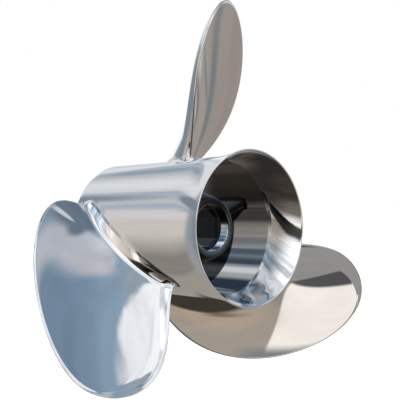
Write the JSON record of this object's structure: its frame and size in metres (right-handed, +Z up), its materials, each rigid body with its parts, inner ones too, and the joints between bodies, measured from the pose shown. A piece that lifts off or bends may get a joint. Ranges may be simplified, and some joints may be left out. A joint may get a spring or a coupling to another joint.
{
  "type": "outboard boat propeller",
  "caption": "Right-hand polished steel boat propeller with raked, cupped blades on a hollow exhaust barrel and an inner hub with a drive socket.",
  "frame": {"origin": "centre of the inner hub's forward thrust face, on the shaft axis", "axes": "+Y along the shaft axis, forward, away from the flared mouth; +Z up through the tip of blade 1; +X to starboard"},
  "size_m": [0.3045, 0.152, 0.2843],
  "materials": {
    "polished_steel": "mirror polished stainless steel",
    "cast_steel": "as-cast and blasted stainless steel inside the exhaust passage"
  },
  "bodies": {
    "root": {"hub_barrel": "polished_steel", "diffuser_ring": "polished_steel", "inner_hub": "cast_steel", "rib_1": "cast_steel", "rib_2": "cast_steel", "rib_3": "cast_steel", "blade_1": "polished_steel", "blade_2": "polished_steel", "blade_3": "polished_steel"}
  },
  "joints": []
}
